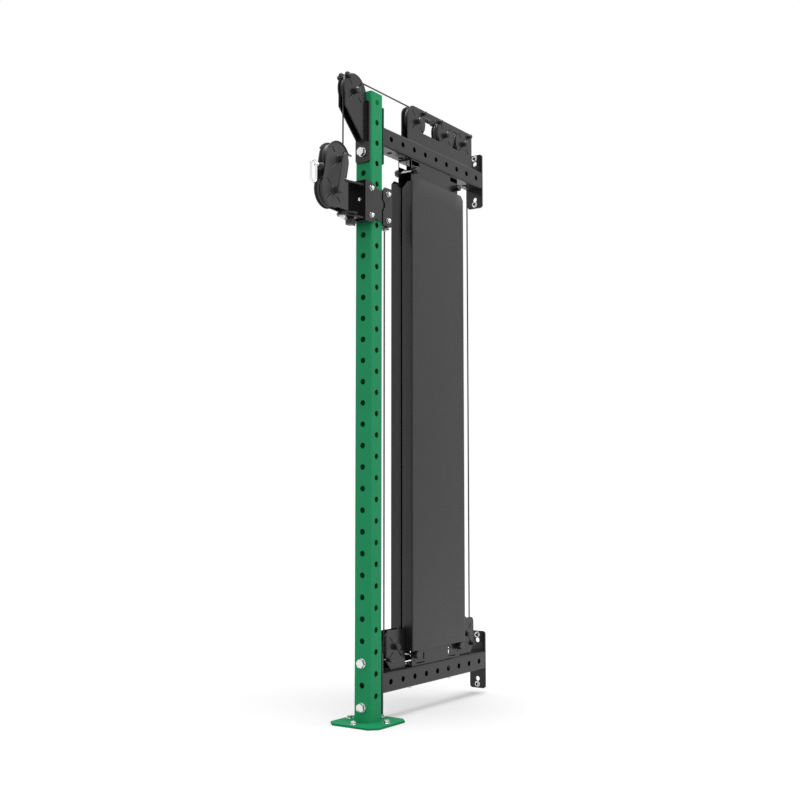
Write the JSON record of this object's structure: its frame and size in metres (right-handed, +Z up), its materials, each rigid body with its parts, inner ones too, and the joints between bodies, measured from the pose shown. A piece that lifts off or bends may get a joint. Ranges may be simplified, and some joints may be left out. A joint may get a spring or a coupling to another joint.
{
  "type": "wall pulley weight stack",
  "caption": "Floor and wall fixed pulley column: enclosed selector weight stack on two beams behind a drilled upright, with a height adjustable swivelling pulley on a sliding carriage.",
  "frame": {"origin": "on the floor, at the axis of the square upright", "axes": "+Z up, +Y from the upright to the wall along the beams, +X to the right of a user who faces the wall"},
  "size_m": [0.22, 1.1475, 2.4225],
  "materials": {
    "green_coat": "satin powder coat",
    "black_coat": "satin powder coat",
    "zinc": "zinc plated",
    "steel": "ground bar",
    "black_plastic": "moulded",
    "pulley_plastic": "machined nylon",
    "knob_plastic": "moulded",
    "pad_plastic": "low friction plastic",
    "cast_plate": "painted",
    "soft_rubber": "moulded",
    "cable_jacket": "nylon coated wire rope",
    "clip_steel": "plated"
  },
  "bodies": {
    "frame": {"upright": "green_coat", "upright_base_plate": "green_coat", "anchor_bolts": "zinc", "lower_beam": "black_coat", "upper_beam": "black_coat", "beam_flanges": "black_coat", "wall_plates": "black_coat", "frame_bolts": "zinc", "top_bracket": "black_coat", "beam_pulley_bracket": "black_coat", "lower_brackets": "black_coat", "pulley_axles": "zinc", "axle_caps": "black_plastic", "stack_mount_upper": "black_coat", "stack_mount_lower": "black_coat", "mount_rods": "zinc", "mount_knobs": "knob_plastic", "shroud_left": "black_coat", "shroud_right": "black_coat", "guide_rods": "steel", "stack_bumpers": "soft_rubber", "resting_plates": "cast_plate", "cable_fixed": "cable_jacket", "cable_front_run": "cable_jacket", "cable_anchor_run": "cable_jacket", "cable_stack_falls": "cable_jacket"},
    "top_front_pulley": {"pulley_top_front": "pulley_plastic"},
    "stack_front_pulley": {"pulley_stack_front": "pulley_plastic"},
    "stack_rear_pulley": {"pulley_stack_rear": "pulley_plastic"},
    "top_rear_pulley": {"pulley_top_rear": "pulley_plastic"},
    "lower_rear_pulley": {"pulley_lower_rear": "pulley_plastic"},
    "lower_front_pulley": {"pulley_lower_front": "pulley_plastic"},
    "stack": {"lifted_plates": "cast_plate", "head_plate": "cast_plate", "selector_stem": "steel", "pulley_yoke": "black_coat", "cable_floating_arc": "cable_jacket"},
    "stack_pulley": {"floating_pulley": "pulley_plastic"},
    "selector": {"selector_pin": "steel"},
    "carriage": {"carriage_sleeve": "black_coat", "carriage_rear_bracket": "black_coat", "guide_blocks": "pad_plastic", "carriage_bolts": "zinc", "lock_barrel": "zinc"},
    "roller_upper": {"rear_roller_upper": "pad_plastic"},
    "roller_lower": {"rear_roller_lower": "pad_plastic"},
    "carriage_lock": {"lock_pin": "zinc"},
    "swivel_lock": {"swivel_lock_knob": "knob_plastic"},
    "swivel": {"housing_plates": "black_coat", "housing_pivot": "black_coat", "housing_fittings": "black_plastic", "grab_handle": "soft_rubber", "cable_housing_arc": "cable_jacket"},
    "swivel_pulley_upper": {"housing_pulley_upper": "pulley_plastic"},
    "swivel_pulley_lower": {"housing_pulley_lower": "pulley_plastic"},
    "cable_end": {"cable_tail": "cable_jacket", "stopper_ball": "soft_rubber"},
    "clip": {"carabiner": "clip_steel"},
    "clip_gate": {"carabiner_gate": "clip_steel"}
  },
  "joints": [
    {"name": "carriage_slide", "type": "slide", "parent": "frame", "child": "carriage", "axis": [0, 0, 1], "range_m": [-1.52, 0.08], "deforming": ["cable_front_run", "cable_anchor_run"]},
    {"name": "carriage_lock_pull", "type": "slide", "parent": "carriage", "child": "carriage_lock", "axis": [1, 0, 0], "range_m": [0, 0.018]},
    {"name": "roller_upper_spin", "type": "hinge", "parent": "carriage", "child": "roller_upper", "pos_m": [0, 0.06, 1.992], "axis": [1, 0, 0], "range_deg": [-4000, 240]},
    {"name": "roller_lower_spin", "type": "hinge", "parent": "carriage", "child": "roller_lower", "pos_m": [0, 0.06, 1.888], "axis": [1, 0, 0], "range_deg": [-4000, 240]},
    {"name": "swivel_turn", "type": "hinge", "parent": "carriage", "child": "swivel", "pos_m": [0, -0.165, 1.94], "axis": [0, 0, 1], "range_deg": [-45, 45]},
    {"name": "swivel_lock_turn", "type": "hinge", "parent": "carriage", "child": "swivel_lock", "pos_m": [0, -0.117, 1.872], "axis": [0, 0, 1], "range_deg": [0, 270]},
    {"name": "swivel_pulley_upper_spin", "type": "hinge", "parent": "swivel", "child": "swivel_pulley_upper", "pos_m": [0, -0.218, 2.066], "axis": [1, 0, 0], "range_deg": [-2750, 10]},
    {"name": "swivel_pulley_lower_spin", "type": "hinge", "parent": "swivel", "child": "swivel_pulley_lower", "pos_m": [0, -0.245, 1.943], "axis": [1, 0, 0], "continuous": true},
    {"name": "stack_lift", "type": "slide", "parent": "frame", "child": "stack", "axis": [0, 0, 1], "range_m": [0, 1.25], "deforming": ["cable_stack_falls"]},
    {"name": "stack_pulley_spin", "type": "hinge", "parent": "stack", "child": "stack_pulley", "pos_m": [0, 0.4145, 0.781], "axis": [1, 0, 0], "range_deg": [-1380, 10]},
    {"name": "selector_pull", "type": "slide", "parent": "stack", "child": "selector", "axis": [-1, 0, 0], "range_m": [0, 0.03]},
    {"name": "top_front_pulley_spin", "type": "hinge", "parent": "frame", "child": "top_front_pulley", "pos_m": [0, -0.112, 2.357], "axis": [1, 0, 0], "range_deg": [-10, 2750]},
    {"name": "stack_front_pulley_spin", "type": "hinge", "parent": "frame", "child": "stack_front_pulley", "pos_m": [0, 0.3085, 2.357], "axis": [1, 0, 0], "range_deg": [-10, 2750]},
    {"name": "stack_rear_pulley_spin", "type": "hinge", "parent": "frame", "child": "stack_rear_pulley", "pos_m": [0, 0.5205, 2.357], "axis": [1, 0, 0], "range_deg": [-90, 1660]},
    {"name": "top_rear_pulley_spin", "type": "hinge", "parent": "frame", "child": "top_rear_pulley", "pos_m": [0, 0.665, 2.357], "axis": [1, 0, 0], "range_deg": [-90, 1660]},
    {"name": "lower_rear_pulley_spin", "type": "hinge", "parent": "frame", "child": "lower_rear_pulley", "pos_m": [0, 0.665, 0.261], "axis": [1, 0, 0], "range_deg": [-90, 1660]},
    {"name": "lower_front_pulley_spin", "type": "hinge", "parent": "frame", "child": "lower_front_pulley", "pos_m": [0, 0.153, 0.261], "axis": [1, 0, 0], "range_deg": [-90, 1660]},
    {"name": "cable_pull", "type": "slide", "parent": "swivel", "child": "cable_end", "axis": [0, -0.99, 0.1409], "range_m": [0, 2.6]},
    {"name": "clip_swing", "type": "hinge", "parent": "cable_end", "child": "clip", "pos_m": [0, -0.3298, 2.025], "axis": [1, 0, 0], "range_deg": [-80, 8]},
    {"name": "clip_gate_open", "type": "hinge", "parent": "clip", "child": "clip_gate", "pos_m": [0, -0.3515, 1.976], "axis": [1, 0, 0], "range_deg": [-22, 0], "stiffness_Nm_per_rad": 0.06, "springref_deg": 17.19}
  ],
  "couplings": [
    {"joint": "roller_upper_spin", "follows": "carriage_slide", "rad_per_m": 45.455},
    {"joint": "roller_lower_spin", "follows": "carriage_slide", "rad_per_m": 45.455},
    {"joint": "swivel_pulley_upper_spin", "follows": "stack_lift", "rad_per_m": -37.736},
    {"joint": "top_front_pulley_spin", "follows": "stack_lift", "rad_per_m": 37.736},
    {"joint": "stack_front_pulley_spin", "follows": "stack_lift", "rad_per_m": 37.736},
    {"joint": "stack_pulley_spin", "follows": "stack_lift", "rad_per_m": -18.868},
    {"joint": "cable_pull", "follows": "stack_lift", "ratio": 2},
    {"joint": "stack_rear_pulley_spin", "follows": "carriage_slide", "rad_per_m": -18.868},
    {"joint": "top_rear_pulley_spin", "follows": "carriage_slide", "rad_per_m": -18.868},
    {"joint": "lower_rear_pulley_spin", "follows": "carriage_slide", "rad_per_m": -18.868},
    {"joint": "lower_front_pulley_spin", "follows": "carriage_slide", "rad_per_m": -18.868}
  ]
}
